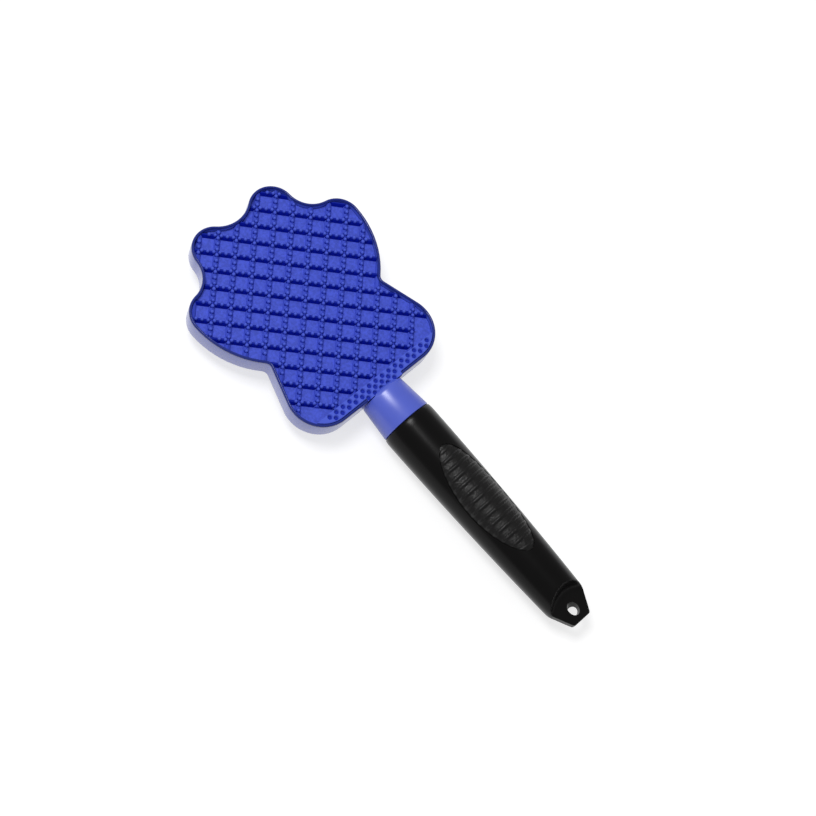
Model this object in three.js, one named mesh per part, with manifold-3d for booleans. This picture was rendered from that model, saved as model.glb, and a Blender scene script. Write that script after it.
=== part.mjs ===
// Wheel brush: a scrubbing head with a rubber pad, a neck and a hand grip with a hang hole.
// Millimetres. X runs across the head, Y along the handle towards the toes of the head, and Z out of
// the scrubbing face. The pieces are drawn about the grip's axis, with Y = 0 at the head's heel.

import * as THREE from 'three';
import { mergeGeometries, mergeVertices } from 'three/addons/utils/BufferGeometryUtils.js';
import Module from 'manifold-3d';

const wasm = await Module();
wasm.setup();

// ---------------------------------------------------------------- driving dimensions

const fitGap = 0.3; // between pieces that touch or slide into each other

// The right half of the head's outline follows these round corners, and the left half mirrors it.
// A rise is the height of a corner's centre above that of the corner before it.
const heelEdge = 1; // the straight edge at the neck
const heelLobe = { x: 32.8, radius: 22 };
const waist = { x: 50.2, rise: 31, radius: 4.2 }; // a hollow corner
const shoulder = { x: 50.4, rise: 45.7, radius: 15.4 };
const toe = { x: 22.8, rise: 30.7, radius: 15 };
const sideRadius = 60; // the long curve from the waist to the shoulder
const notchRadius = 17.4; // the hollow curve from the shoulder to the toe
const valleyRadius = 21; // the hollow curve between the toes
const outlineStep = 16; // degrees of arc between two points of the outline

// The head's layers, from the scrubbing face down.
const headTop = 11; // nub tops and rim above the grip's axis
const headThickness = 16.5;
const rimWidth = 1.6;
const backEdgeRadius = 2;
const reliefDepth = 4.5; // nub tops to the floor of the pockets
const nubHeight = 1.6;
const nubMargin = 7; // no nub's middle is closer to the pad's edge
const nubRoot = 0.2; // each nub starts this far down inside its wall
const padSkin = 1.8; // rubber under the pockets
const foamThickness = 2.4;
const webThickness = 2;
const coverThickness = 2;
const coverMargin = 3.2; // bare frame round the cover
const coverLedge = 1.5;
const stiffenerWidth = 1.6;
const stiffenerPitch = 23;

// The pad's walls run on a square grid turned 45 degrees, and two of them cross on the centre line.
const nubPitch = 3.7; // along a wall
const nubsPerPocket = 3; // along each side of a pocket
const nubFoot = 2.7; // across its corners
const wallWidth = 2.8;
const crossingY = 89.6; // the crossing on the centre line
const heelBand = 20; // pockets that lie in this strip next to the heel are full, with small pits
const pitRadius = 0.95;
const pitDepth = 2.6;
const heelPatch = { x: 46, y: 16.5, radius: 9 }; // smooth hollows, one on each side

// Cover screws.
const screwHeadRadius = 2.7;
const screwHeadHeight = 1.3;
const screwShankRadius = 1.3;
const screwLength = 6;
const bossRadius = 3.4;
const shoulderScrew = { inwards: 3, down: 6 }; // from the centre of the shoulder's corner
const toeScrewDown = 2; // from the centre of the toe's corner

// Neck collar.
const neckLength = 22.7;
const neckHeadRadius = 14.7;
const neckGripRadius = 16.8;
const noseRadius = 2.2;
const noseReach = 1.4; // above the scrubbing face the nose runs this far past the heel edge
const noseSteps = 3; // flats of the rounded nose
const spigotRadius = 12;
const spigotLength = 10;

// Tang: an H-shaped bar, moulded with the frame, that runs through the collar into the grip.
const tangWidth = 17.4;
const tangHeight = 10;
const tangLength = 104;
const tangWeb = 3;
const tangFlange = 2.6;
const tangRibPitch = 16;
const tangRibWidth = 1.8;

// Grip.
const gripLength = 157.2;
const gripFrontRadius = 17.4;
const gripTailRadius = 13.7;
const gripShoulder = 3.5; // from the front edge to the fattest ring
const gripFrontStep = 0.4; // the front edge is this much slimmer than that ring
const socketExtra = 2; // space past the tang's end
const gripSides = 36;
const gripStations = 9; // straight stretches of its side line

// Hang tab at the grip's free end.
const tabLength = 13.6; // flat, from the scoop to the end
const tabThickness = 5;
const tabEndWidth = 13;
const tabTaper = 13; // length of the slanted sides
const scoopLength = 7;
const scoopSteps = 5; // flats of its curved wall
const hangHoleWidth = 7;
const hangHoleTop = { fromEnd: 8.4, length: 8.8 }; // on the scrubbing side
const hangHoleBack = { fromEnd: 7.1, length: 6 };

// Ribbed inlay in the grip's upper side.
const inlayLength = 81;
const inlayWidth = 27;
const inlayCentre = 65.8; // from the grip's front end
const inlayDepth = 1.6;
const inlayFlush = 0.15; // the inlay's skin lies this far below the grip's surface
const ribCount = 14;
const ribPitch = 5.74;
const ribBase = 2.5;
const ribTop = 1.1;
const ribHeight = 0.75;
const inlayStations = 8; // straight stretches along the recess and the inlay's underside

// Handle screw, from the grip's underside into the tang.
const handleScrewFromFront = 22;
const handleScrewHeadRadius = 3.1;
const handleScrewHeadHeight = 2.2;
const handleScrewShankRadius = 1.6;
const handleScrewSink = 1.2; // head below the grip's surface
const handleBossRadius = 4.2;

// ---------------------------------------------------------------- levels worked out from them

const headBottom = headTop - headThickness;
const floorTop = headTop - reliefDepth;
const wallTop = headTop - nubHeight;
const padBottom = floorTop - padSkin;
const foamTop = padBottom - fitGap;
const foamBottom = foamTop - foamThickness;
const webTop = foamBottom - fitGap;
const webBottom = webTop - webThickness;
const coverTop = headBottom + coverThickness;
const frameBackTop = coverTop + fitGap;
const heelLobeY = heelEdge + heelLobe.radius;
const waistY = heelLobeY + waist.rise;
const shoulderY = waistY + shoulder.rise;
const toeY = shoulderY + toe.rise;
const toeEdge = toeY + toe.radius;
const padInset = rimWidth + fitGap;
const rowPitch = nubPitch * nubsPerPocket * Math.SQRT1_2; // from one row of crossings to the next
const bandTop = crossingY - rowPitch * Math.ceil((crossingY - heelEdge - heelBand) / rowPitch);
const neckFront = heelEdge - fitGap;
const neckBack = neckFront - neckLength;
const gripFront = neckBack - fitGap;
const gripEnd = gripFront - gripLength;
const tabStart = gripEnd + tabLength;
const screwPilotRadius = screwShankRadius + fitGap;
const clear = 5; // how far a cutting tool reaches past the material that it cuts
const overlap = 0.6; // how far two joined bodies run into each other
const shortestEdge = 0.05; // two points of the outline closer than this are one

// ---------------------------------------------------------------- solids

function solid(geometry) {
  const bare = geometry.clone();
  bare.deleteAttribute('normal');
  bare.deleteAttribute('uv');
  const merged = mergeVertices(bare, 1e-4);
  const corners = merged.index.array;
  const kept = [];
  for (let i = 0; i < corners.length; i += 3) {
    const [a, b, c] = [corners[i], corners[i + 1], corners[i + 2]];
    if (a !== b && b !== c && c !== a) {
      kept.push(a, b, c);
    }
  }
  const mesh = new wasm.Mesh({
    numProp: 3,
    vertProperties: new Float32Array(merged.attributes.position.array),
    triVerts: new Uint32Array(kept),
  });
  return new wasm.Manifold(mesh);
}

function geometryOf(body) {
  const mesh = body.getMesh();
  const geometry = new THREE.BufferGeometry();
  geometry.setAttribute('position', new THREE.BufferAttribute(mesh.vertProperties, 3));
  geometry.setIndex(new THREE.BufferAttribute(mesh.triVerts, 1));
  geometry.computeVertexNormals();
  return geometry;
}

// A plate of the given outline between two heights.
function plate(points, bottom, top) {
  const geometry = new THREE.ExtrudeGeometry(new THREE.Shape(points), {
    depth: top - bottom,
    bevelEnabled: false,
  });
  return solid(geometry.translate(0, 0, bottom));
}

// A block between two corners.
function block(low, high) {
  const size = high.map((value, i) => value - low[i]);
  const centre = high.map((value, i) => (value + low[i]) / 2);
  return solid(new THREE.BoxGeometry(...size).translate(...centre));
}

// An upright round bar.
function post(x, y, radius, bottom, top, sides = 16) {
  const geometry = new THREE.CylinderGeometry(radius, radius, top - bottom, sides);
  return solid(geometry.rotateX(Math.PI / 2).translate(x, y, (top + bottom) / 2));
}

// A body turned about the grip's axis from points of radius and Y, listed towards +Y.
function turned(profile, sides) {
  const points = profile.map(([radius, y]) => new THREE.Vector2(radius, y));
  return solid(new THREE.LatheGeometry(points, sides));
}

// A bar across the full width whose section is drawn in Y and Z.
function crossBar(section, halfLength) {
  const shape = new THREE.Shape(section.map(([y, z]) => new THREE.Vector2(y, z)));
  const geometry = new THREE.ExtrudeGeometry(shape, { depth: 2 * halfLength, bevelEnabled: false });
  const [x, y, z] = [new THREE.Vector3(1, 0, 0), new THREE.Vector3(0, 1, 0), new THREE.Vector3(0, 0, 1)];
  geometry.applyMatrix4(new THREE.Matrix4().makeBasis(y, z, x));
  return solid(geometry.translate(-halfLength, 0, 0));
}

// Angles from 0 to a right angle, in equal steps.
function quarterTurn(steps) {
  return Array.from({ length: steps + 1 }, (_, i) => (i * Math.PI) / 2 / steps);
}

function joined(bodies) {
  return bodies.reduce((whole, body) => whole.add(body));
}

// ---------------------------------------------------------------- the head's outline

// The point at these distances from two centres, on the left of the way from the first to the second.
function meeting(a, fromA, b, fromB) {
  const apart = Math.hypot(b.x - a.x, b.y - a.y);
  const along = (apart ** 2 + fromA ** 2 - fromB ** 2) / (2 * apart);
  const aside = Math.sqrt(fromA ** 2 - along ** 2);
  const [dx, dy] = [(b.x - a.x) / apart, (b.y - a.y) / apart];
  return { x: a.x + dx * along - dy * aside, y: a.y + dy * along + dx * aside };
}

// The discs that the outline runs round. A negative radius marks a hollow one, which it passes inside.
function outlineDiscs() {
  const heel = { x: heelLobe.x, y: heelLobeY, radius: heelLobe.radius };
  const hollow = { x: waist.x, y: waistY, radius: -waist.radius };
  const corner = { x: shoulder.x, y: shoulderY, radius: shoulder.radius };
  const tip = { x: toe.x, y: toeY, radius: toe.radius };
  const side = meeting(hollow, sideRadius + waist.radius, corner, sideRadius - shoulder.radius);
  const notch = meeting(tip, notchRadius + toe.radius, corner, notchRadius + shoulder.radius);
  const valleyRise = Math.sqrt((valleyRadius + toe.radius) ** 2 - toe.x ** 2);
  const right = [
    heel,
    hollow,
    { ...side, radius: sideRadius },
    corner,
    { ...notch, radius: -notchRadius },
    tip,
  ];
  const left = right.map((disc) => ({ ...disc, x: -disc.x })).reverse();
  return [...right, { x: 0, y: toeY + valleyRise, radius: -valleyRadius }, ...left];
}

// The head's outline, anticlockwise, moved inwards by the margin.
function headOutline(margin = 0) {
  const discs = outlineDiscs().map((disc) => ({ ...disc, radius: disc.radius - margin }));
  const directions = discs.map((disc, i) => {
    const next = discs[(i + 1) % discs.length];
    const distance = Math.hypot(next.x - disc.x, next.y - disc.y);
    const lean = Math.asin(THREE.MathUtils.clamp((next.radius - disc.radius) / distance, -1, 1));
    return Math.atan2(next.y - disc.y, next.x - disc.x) - lean;
  });
  const points = [];
  discs.forEach((disc, i) => {
    const from = directions[(i + discs.length - 1) % discs.length] - Math.PI / 2;
    const turn = directions[i] - Math.PI / 2 - from;
    const sweep = THREE.MathUtils.euclideanModulo(turn + Math.PI, 2 * Math.PI) - Math.PI;
    const steps = Math.max(1, Math.round(THREE.MathUtils.radToDeg(Math.abs(sweep)) / outlineStep));
    for (let step = 0; step <= steps; step += 1) {
      const angle = from + (sweep * step) / steps;
      const x = disc.x + disc.radius * Math.cos(angle);
      const y = disc.y + disc.radius * Math.sin(angle);
      const last = points[points.length - 1];
      if (!last || Math.hypot(x - last.x, y - last.y) > shortestEdge) {
        points.push(new THREE.Vector2(x, y));
      }
    }
  });
  return points;
}

function isInside(points, x, y) {
  let inside = false;
  points.forEach((a, i) => {
    const b = points[(i + 1) % points.length];
    if (a.y > y !== b.y > y && x < ((b.x - a.x) * (y - a.y)) / (b.y - a.y) + a.x) {
      inside = !inside;
    }
  });
  return inside;
}

// ---------------------------------------------------------------- scrub pad

// A place on the grid: u and v count steps along the two diagonals from the crossing.
function gridPlace(u, v) {
  const along = nubPitch * Math.SQRT1_2;
  return [(u - v) * along, crossingY + (u + v) * along];
}

// Every place a given number of steps apart, moved by the same share of a step on both diagonals.
function gridPlaces(apart, offset) {
  const reach = Math.ceil(toeEdge / (nubPitch * apart));
  const places = [];
  for (let i = -reach; i <= reach; i += 1) {
    for (let j = -reach; j <= reach; j += 1) {
      places.push(gridPlace(i * apart + offset, j * apart + offset));
    }
  }
  return places;
}

// The nubs of each wall: half a step past a crossing, and then one at every step.
function nubPlaces() {
  const walls = Math.ceil(toeEdge / (nubPitch * nubsPerPocket));
  const places = [];
  for (let wall = -walls; wall <= walls; wall += 1) {
    for (let step = -walls * nubsPerPocket; step < walls * nubsPerPocket; step += 1) {
      places.push(gridPlace(wall * nubsPerPocket, step + 1 / 2));
      places.push(gridPlace(step + 1 / 2, wall * nubsPerPocket));
    }
  }
  return places;
}

function onSmoothPatch(x, y) {
  return Math.hypot(Math.abs(x) - heelPatch.x, y - heelPatch.y) < heelPatch.radius;
}

// A box over the head, past a line across it.
function beyond(y, bottom, top) {
  const reach = shoulder.x + shoulder.radius + clear;
  return block([-reach, y, bottom], [reach, toeEdge + clear, top]);
}

// Square blocks along the walls, on the middles of the full pockets or of the open ones.
function squares(side, bottom, top, full) {
  const lowest = -rowPitch;
  const widest = shoulder.x + shoulder.radius;
  const tool = new THREE.BoxGeometry(side, side, top - bottom).rotateZ(Math.PI / 4);
  return gridPlaces(nubsPerPocket, nubsPerPocket / 2)
    .filter(([x, y]) => y > lowest && y < toeEdge && Math.abs(x) < widest)
    .filter(([, y]) => y < bandTop - rowPitch / 2 === full)
    .map(([x, y]) => tool.clone().translate(x, y, (bottom + top) / 2));
}

function pocketCuts() {
  const side = nubPitch * nubsPerPocket - wallWidth;
  return solid(mergeGeometries(squares(side, floorTop, headTop + clear, false)));
}

function fullPockets() {
  const side = nubPitch * nubsPerPocket + wallWidth;
  const blocks = squares(side, wallTop - overlap, headTop, true).map(solid);
  return joined(blocks).intersect(plate(headOutline(padInset), padBottom, headTop));
}

function smoothPatches() {
  const { x, y, radius } = heelPatch;
  return joined([x, -x].map((place) => post(place, y, radius, floorTop, headTop + clear, 14)));
}

// A full pocket has a pit at each step of the grid, the lower two of its walls included.
function pits() {
  const field = headOutline(padInset + pitRadius + wallWidth / 2);
  const tool = new THREE.CylinderGeometry(pitRadius, pitRadius, 2 * pitDepth, 8).rotateX(Math.PI / 2);
  const reach = Math.ceil(toeEdge / nubPitch);
  const placed = [];
  for (let i = -reach; i <= reach; i += 1) {
    for (let j = -reach; j <= reach; j += 1) {
      const [x, y] = gridPlace(i, j);
      const [u, v] = [i, j].map((step) => (Math.floor(step / nubsPerPocket) + 1 / 2) * nubsPerPocket);
      const full = gridPlace(u, v)[1] < bandTop - rowPitch / 2;
      if (full && isInside(field, x, y) && !onSmoothPatch(x, y)) {
        placed.push(tool.clone().translate(x, y, headTop));
      }
    }
  }
  return solid(mergeGeometries(placed));
}

// Nubs with four sloping sides. Their corners lie on the walls' centre lines, clear of each other.
function nubs() {
  const field = headOutline(padInset + nubMargin);
  const height = nubHeight + nubRoot;
  const tool = new THREE.ConeGeometry(nubFoot / 2, height, 4).rotateX(Math.PI / 2).rotateZ(Math.PI / 4);
  const placed = nubPlaces()
    .filter(([x, y]) => y > bandTop && isInside(field, x, y) && !onSmoothPatch(x, y))
    .map(([x, y]) => tool.clone().translate(x, y, headTop - height / 2));
  return solid(mergeGeometries(placed));
}

function scrubPad() {
  return plate(headOutline(padInset), padBottom, wallTop)
    .subtract(pocketCuts())
    .add(fullPockets())
    .subtract(smoothPatches())
    .subtract(pits())
    .add(nubs());
}

// ---------------------------------------------------------------- head

function foamCushion() {
  return plate(headOutline(padInset), foamBottom, foamTop);
}

function screwPositions() {
  const places = [
    [heelLobe.x, heelLobeY],
    [shoulder.x - shoulderScrew.inwards, shoulderY - shoulderScrew.down],
    [toe.x, toeY - toeScrewDown],
  ];
  return places.flatMap(([x, y]) => [
    [x, y],
    [-x, y],
  ]);
}

// The frame's outer body: straight sides and a rounded edge at the back.
function frameBlank() {
  const geometry = new THREE.ExtrudeGeometry(new THREE.Shape(headOutline()), {
    depth: headThickness,
    bevelThickness: backEdgeRadius,
    bevelSize: backEdgeRadius,
    bevelOffset: -backEdgeRadius,
    bevelSegments: 2,
  });
  const body = solid(geometry.translate(0, 0, headBottom + backEdgeRadius));
  const reach = shoulder.x + shoulder.radius + clear;
  return body.subtract(block([-reach, -clear, headTop], [reach, toeEdge + clear, headTop + headThickness]));
}

function stiffeners() {
  const reach = shoulder.x + shoulder.radius;
  const half = stiffenerWidth / 2;
  const bars = [];
  for (let y = heelEdge + stiffenerPitch / 2; y < toeEdge; y += stiffenerPitch) {
    bars.push(block([-reach, y - half, frameBackTop], [reach, y + half, webBottom + overlap]));
  }
  const lanes = Math.floor(reach / stiffenerPitch);
  for (let lane = -lanes; lane <= lanes; lane += 1) {
    const x = lane * stiffenerPitch;
    bars.push(block([x - half, 0, frameBackTop], [x + half, toeEdge, webBottom + overlap]));
  }
  const rooted = headOutline(coverMargin + coverLedge - overlap);
  return joined(bars).intersect(plate(rooted, frameBackTop, webBottom + overlap));
}

function tang() {
  const halfWidth = tangWidth / 2;
  const halfHeight = tangHeight / 2;
  const root = heelEdge + rimWidth - overlap;
  const end = heelEdge - tangLength;
  const half = tangRibWidth / 2;
  const bars = [block([-halfWidth, end, -tangWeb / 2], [halfWidth, root, tangWeb / 2])];
  [-1, 1].forEach((side) => {
    const outer = side * halfWidth;
    const inner = side * (halfWidth - tangFlange);
    const [low, high] = [Math.min(outer, inner), Math.max(outer, inner)];
    bars.push(block([low, end, -halfHeight], [high, root, halfHeight]));
  });
  for (let y = end + half; y < gripFront; y += tangRibPitch) {
    bars.push(block([-halfWidth, y - half, -halfHeight], [halfWidth, y + half, halfHeight]));
  }
  bars.push(post(0, gripFront - handleScrewFromFront, handleBossRadius, -halfHeight, halfHeight));
  return joined(bars);
}

function headFrame() {
  const recess = plate(headOutline(rimWidth), webTop, headTop + clear);
  const backSpace = plate(headOutline(coverMargin + coverLedge), frameBackTop - overlap, webBottom);
  const coverSeat = plate(headOutline(coverMargin), headBottom - clear, frameBackTop);
  const positions = screwPositions();
  const bosses = positions.map(([x, y]) => post(x, y, bossRadius, frameBackTop, webBottom + overlap));
  const pilots = positions.map(([x, y]) =>
    post(x, y, screwPilotRadius, headBottom, headBottom + screwLength + fitGap, 10),
  );
  const handlePilot = post(
    0,
    gripFront - handleScrewFromFront,
    handleScrewShankRadius + fitGap,
    -tangHeight,
    tangWeb / 2,
    10,
  );
  return frameBlank()
    .subtract(recess)
    .subtract(backSpace)
    .subtract(coverSeat)
    .add(stiffeners())
    .add(joined(bosses))
    .subtract(joined(pilots))
    .add(tang())
    .subtract(handlePilot);
}

// A body turned about an upright line through x and y, from points of radius and height above bottom.
function turnedUpright(profile, [x, y], bottom, sides) {
  const points = profile.map(([radius, height]) => new THREE.Vector2(radius, height));
  return solid(new THREE.LatheGeometry(points, sides).rotateX(Math.PI / 2).translate(x, y, bottom));
}

// The tool for a countersunk hole that opens downwards at the given height.
function countersunkHole(place, bottom, headRadius, headHeight, holeRadius, depth) {
  const profile = [
    [0, -clear],
    [headRadius, -clear],
    [headRadius, 0],
    [holeRadius, headHeight],
    [holeRadius, depth],
    [0, depth],
  ];
  return turnedUpright(profile, place, bottom, 14);
}

// A countersunk screw that points up, with its head's flat face at the given height.
function screw(place, bottom, headRadius, headHeight, shankRadius, length) {
  const profile = [
    [0, 0],
    [headRadius, 0],
    [shankRadius, headHeight],
    [shankRadius, length - shankRadius],
    [shankRadius / 2, length],
    [0, length],
  ];
  return turnedUpright(profile, place, bottom, 12);
}

function backCover() {
  const holes = screwPositions().map((place) =>
    countersunkHole(
      place,
      headBottom,
      screwHeadRadius + fitGap,
      screwHeadHeight + fitGap / 2,
      screwPilotRadius,
      coverThickness + clear,
    ),
  );
  return plate(headOutline(coverMargin + fitGap), headBottom, coverTop).subtract(joined(holes));
}

// ---------------------------------------------------------------- neck and grip

function tangSlot(from, to) {
  const halfWidth = tangWidth / 2 + fitGap;
  const halfHeight = tangHeight / 2 + fitGap;
  return block([-halfWidth, from, -halfHeight], [halfWidth, to, halfHeight]);
}

function neckCollar() {
  const tip = neckFront + noseReach;
  const nose = quarterTurn(noseSteps).map((angle) => {
    return [
      neckHeadRadius - noseRadius * (1 - Math.cos(angle)),
      tip - noseRadius * (1 - Math.sin(angle)),
    ];
  });
  const profile = [
    [0, neckBack - spigotLength],
    [spigotRadius, neckBack - spigotLength],
    [spigotRadius, neckBack],
    [neckGripRadius, neckBack],
    ...nose,
    [0, tip],
  ];
  return turned(profile, gripSides)
    .subtract(tangSlot(neckBack - spigotLength - clear, neckFront + clear))
    .subtract(beyond(neckFront, -neckHeadRadius - clear, headTop + fitGap));
}

// The grip swells at its front and thins towards the tail along a parabola.
function gripRadius(y) {
  const fattest = gripFront - gripShoulder;
  if (y > fattest) {
    return gripFrontRadius - (gripFrontStep * (y - fattest)) / gripShoulder;
  }
  const share = (fattest - y) / (fattest - tabStart);
  return gripFrontRadius - (gripFrontRadius - gripTailRadius) * share ** 2;
}

function inlayOutline(margin) {
  const curve = new THREE.EllipseCurve(
    0,
    gripFront - inlayCentre,
    inlayWidth / 2 - margin,
    inlayLength / 2 - margin,
  );
  return curve.getPoints(40).slice(0, -1);
}

function gripBlank() {
  const profile = [[0, gripEnd]];
  for (let i = 0; i <= gripStations; i += 1) {
    const y = THREE.MathUtils.lerp(gripEnd, gripFront - gripShoulder, i / gripStations);
    profile.push([gripRadius(y), y]);
  }
  profile.push([gripRadius(gripFront), gripFront], [0, gripFront]);
  return turned(profile, gripSides);
}

// The tail seen from above: its slanted sides run on outwards, clear of the grip.
function tailOutline() {
  const wide = gripFrontRadius + clear;
  const slope = tabTaper / (gripRadius(gripEnd + tabTaper) - tabEndWidth / 2);
  const taperTop = gripEnd + (wide - tabEndWidth / 2) * slope;
  return [
    [tabEndWidth / 2, gripEnd - clear],
    [tabEndWidth / 2, gripEnd],
    [wide, taperTop],
    [wide, gripFront + clear],
    [-wide, gripFront + clear],
    [-wide, taperTop],
    [-tabEndWidth / 2, gripEnd],
    [-tabEndWidth / 2, gripEnd - clear],
  ].map(([x, y]) => new THREE.Vector2(x, y));
}

// One of the two hollow cuts that leave the flat tab. Its wall climbs in a quarter of an ellipse.
function scoop(side) {
  const rise = gripFrontRadius + clear - tabThickness / 2;
  const wall = quarterTurn(scoopSteps).map((angle) => {
    return [
      tabStart + scoopLength * Math.sin(angle),
      side * (tabThickness / 2 + (gripFrontRadius - tabThickness / 2) * (1 - Math.cos(angle))),
    ];
  });
  const section = [
    [gripEnd - clear, (side * tabThickness) / 2],
    ...wall,
    [tabStart + scoopLength, side * (tabThickness / 2 + rise)],
    [gripEnd - clear, side * (tabThickness / 2 + rise)],
  ];
  return crossBar(side > 0 ? section : section.reverse(), gripFrontRadius + clear);
}

// The hang hole: its wall towards the head slopes, so the mouth is longer on the scrubbing side.
function hangHole() {
  const reach = tabThickness; // the tool runs half a thickness past both faces
  const geometry = new THREE.CylinderGeometry(1, 1, 2 * reach, 20).rotateX(Math.PI / 2);
  const places = geometry.attributes.position;
  for (let i = 0; i < places.count; i += 1) {
    const z = places.getZ(i);
    const share = z / tabThickness + 1 / 2;
    const middle = THREE.MathUtils.lerp(hangHoleBack.fromEnd, hangHoleTop.fromEnd, share);
    const length = THREE.MathUtils.lerp(hangHoleBack.length, hangHoleTop.length, share);
    const x = (places.getX(i) * hangHoleWidth) / 2;
    places.setXYZ(i, x, gripEnd + middle + (places.getY(i) * length) / 2, z);
  }
  return solid(geometry);
}

// The points of the grip's own curve along the inlay, moved in or out, listed towards +Y.
function gripCurve(lift, past) {
  const centre = gripFront - inlayCentre;
  const reach = inlayLength / 2 + past;
  const points = [];
  for (let i = 0; i <= inlayStations; i += 1) {
    const y = THREE.MathUtils.lerp(centre - reach, centre + reach, i / inlayStations);
    points.push([gripRadius(y) + lift, y]);
  }
  return points;
}

// The recess in the grip: the inlay's oval with straight sides and a floor that follows the grip.
function inlayPocket() {
  const outer = gripCurve(clear, overlap);
  const floor = gripCurve(-inlayDepth, overlap).reverse();
  const ring = turned([...outer, ...floor, outer[0]], gripSides);
  return ring.intersect(plate(inlayOutline(0), 0, gripFrontRadius + 2 * clear));
}

function grip() {
  const spigotSpace = turned(
    [
      [0, gripFront - spigotLength - fitGap],
      [spigotRadius + fitGap, gripFront - spigotLength - fitGap],
      [spigotRadius + fitGap, gripFront + clear],
      [0, gripFront + clear],
    ],
    gripSides,
  );
  const screwY = gripFront - handleScrewFromFront;
  const screwHole = countersunkHole(
    [0, screwY],
    handleScrewSeat(),
    handleScrewHeadRadius + fitGap,
    handleScrewHeadHeight + fitGap / 2,
    handleScrewShankRadius + fitGap,
    gripFrontRadius,
  );
  return gripBlank()
    .intersect(plate(tailOutline(), -gripFrontRadius - clear, gripFrontRadius + clear))
    .subtract(scoop(1))
    .subtract(scoop(-1))
    .subtract(hangHole())
    .subtract(spigotSpace)
    .subtract(tangSlot(heelEdge - tangLength - socketExtra, gripFront + clear))
    .subtract(inlayPocket())
    .subtract(screwHole);
}

// The height of the handle screw's face, above the lowest line of the grip there.
function handleScrewSeat() {
  return handleScrewSink - gripRadius(gripFront - handleScrewFromFront);
}

function handleScrew() {
  const length = -handleScrewSeat() - fitGap;
  return screw(
    [0, gripFront - handleScrewFromFront],
    handleScrewSeat(),
    handleScrewHeadRadius,
    handleScrewHeadHeight,
    handleScrewShankRadius,
    length,
  );
}

// The inlay is a ring of the grip's own curve with the ribs turned on it, cut to the oval.
function gripInlay() {
  const centre = gripFront - inlayCentre;
  const half = inlayLength / 2;
  const surface = (y, lift) => [gripRadius(y) - inlayFlush + lift, y];
  const outer = [surface(centre - half, 0)];
  for (let i = 0; i < ribCount; i += 1) {
    const y = centre + (i - (ribCount - 1) / 2) * ribPitch;
    outer.push(
      surface(y - ribBase / 2, 0),
      surface(y - ribTop / 2, ribHeight),
      surface(y + ribTop / 2, ribHeight),
      surface(y + ribBase / 2, 0),
    );
  }
  outer.push(surface(centre + half, 0));
  const underside = gripCurve(fitGap - inlayDepth, 0).reverse();
  const ring = turned([...outer, ...underside, outer[0]], gripSides);
  return ring.intersect(plate(inlayOutline(fitGap), 0, gripFrontRadius + 2 * clear));
}

// ---------------------------------------------------------------- assembly

function finish(color, roughness, metalness = 0) {
  return new THREE.MeshStandardMaterial({ color, roughness, metalness });
}

const pieces = [
  ['scrub_pad', scrubPad(), finish(0x4156c9, 0.62)],
  ['foam_cushion', foamCushion(), finish(0x3a3d45, 0.95)],
  ['head_frame', headFrame(), finish(0x4f63d2, 0.32)],
  ['back_cover', backCover(), finish(0x4a5ecb, 0.38)],
  ['neck_collar', neckCollar(), finish(0x4b60d0, 0.25)],
  ['grip', grip(), finish(0x171618, 0.4)],
  ['grip_inlay', gripInlay(), finish(0x131214, 0.6)],
  ['handle_screw', handleScrew(), finish(0xaab0b8, 0.35, 1)],
];

screwPositions().forEach((place, i) => {
  const body = screw(
    place,
    headBottom,
    screwHeadRadius,
    screwHeadHeight,
    screwShankRadius,
    screwLength,
  );
  pieces.push([`cover_screw_${i + 1}`, body, finish(0xaab0b8, 0.35, 1)]);
});

const wheelBrush = new THREE.Group();
pieces.forEach(([name, body, material]) => {
  const mesh = new THREE.Mesh(geometryOf(body), material);
  mesh.name = name;
  wheelBrush.add(mesh);
});

// The origin is under the middle of the brush, on the surface that the grip lies on.
wheelBrush.position.set(0, -(toeEdge + gripEnd) / 2, gripFrontRadius);

export default wheelBrush;
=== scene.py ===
"""The looks of the wheel brush, laid out as a Blender add-on.

Metres, in the row frame: X runs across the head, Y along the handle towards the toes of the head,
and Z out of the scrubbing pad. The sizes below count from the grip's axis and from the point Y = 0
of the drawing, which `Drawing.at` moves into the row frame.
"""

import math

import bmesh
import bpy
from bpy.props import FloatProperty, FloatVectorProperty, IntProperty, PointerProperty
from bpy.types import NodeSocket, Operator, Panel, PropertyGroup
from mathutils import Matrix, Vector


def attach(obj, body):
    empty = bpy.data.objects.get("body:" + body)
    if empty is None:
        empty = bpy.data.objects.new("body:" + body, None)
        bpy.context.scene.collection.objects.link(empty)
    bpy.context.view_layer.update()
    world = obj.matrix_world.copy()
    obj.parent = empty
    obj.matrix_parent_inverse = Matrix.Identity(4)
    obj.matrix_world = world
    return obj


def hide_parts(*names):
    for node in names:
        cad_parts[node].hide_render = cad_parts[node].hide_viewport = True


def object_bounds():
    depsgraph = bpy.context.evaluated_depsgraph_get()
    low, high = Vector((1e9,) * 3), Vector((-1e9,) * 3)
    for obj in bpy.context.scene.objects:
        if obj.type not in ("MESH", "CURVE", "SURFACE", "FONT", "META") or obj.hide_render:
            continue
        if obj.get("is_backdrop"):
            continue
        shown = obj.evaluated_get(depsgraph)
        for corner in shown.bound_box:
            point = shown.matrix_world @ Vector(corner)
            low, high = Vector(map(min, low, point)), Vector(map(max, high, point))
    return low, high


bl_info = {
    "name": "Wheel Brush",
    "version": (1, 0, 0),
    "blender": (4, 5, 0),
    "location": "View3D > Sidebar > Wheel Brush",
    "description": "Builds the visible pieces of a wheel brush and the stage that it lies on",
    "category": "Object",
}

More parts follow.
